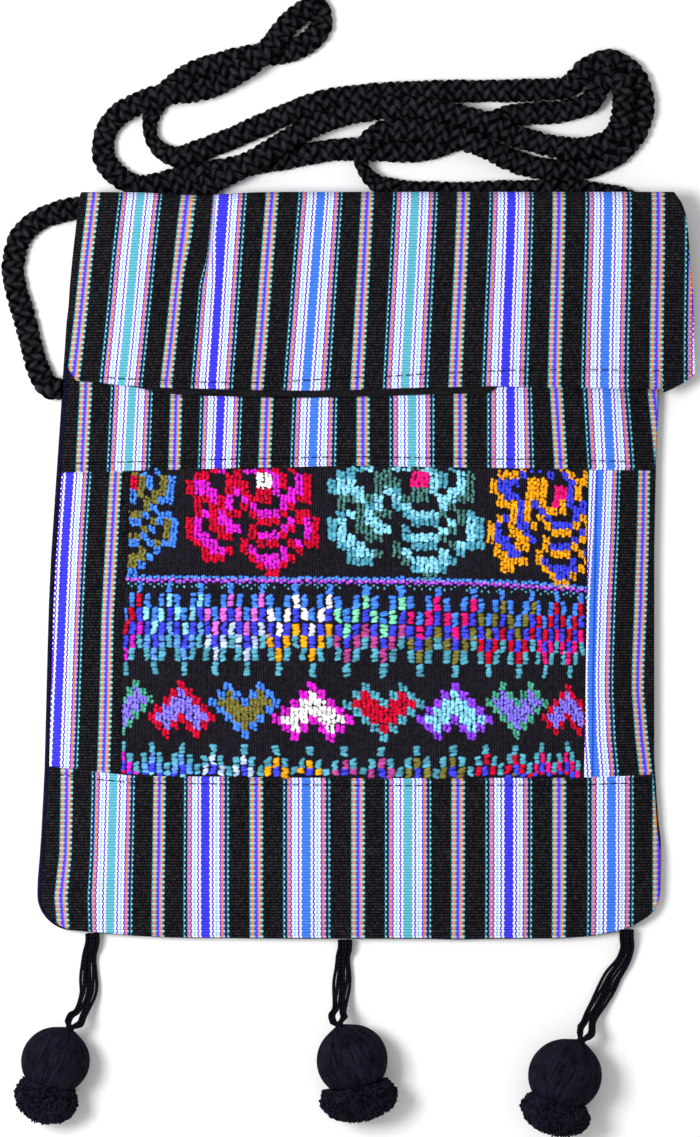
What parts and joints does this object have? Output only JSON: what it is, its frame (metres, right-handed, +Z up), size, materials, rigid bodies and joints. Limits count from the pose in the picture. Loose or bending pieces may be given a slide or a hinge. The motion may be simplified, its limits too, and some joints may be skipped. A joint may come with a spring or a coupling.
{
  "type": "woven shoulder bag",
  "caption": "Flat handwoven shoulder bag with a striped fold-over flap, a brocade front panel, a long braided cord strap and pompom tassels, lying on its back.",
  "frame": {"origin": "on the ground under the middle of the bag, measured without the strap and the tassels", "axes": "+Y towards the folded top of the bag, +Z up out of the front, +X to the right as seen from above"},
  "size_m": [0.2494, 0.4139, 0.0261],
  "materials": {
    "striped_cloth": "matte warp-faced cotton with coloured stripes",
    "brocade_cloth": "black cotton with brocade stitches",
    "back_cloth": "plain dark cotton",
    "lining_cloth": "plain black cotton",
    "braided_cord": "black braid with a soft sheen",
    "tassel_thread": "blue-black cotton thread"
  },
  "bodies": {
    "root": {"back_panel": "back_cloth", "front_upper_band": "striped_cloth", "front_lower_band": "striped_cloth", "front_left_strip": "striped_cloth", "front_right_strip": "striped_cloth", "brocade_panel": "brocade_cloth", "flap": "striped_cloth", "flap_lining": "lining_cloth", "strap_cord": "braided_cord", "tassel_cord_left": "tassel_thread", "tassel_cord_middle": "tassel_thread", "tassel_cord_right": "tassel_thread", "pompom_left": "tassel_thread", "pompom_middle": "tassel_thread", "pompom_right": "tassel_thread"}
  },
  "joints": []
}
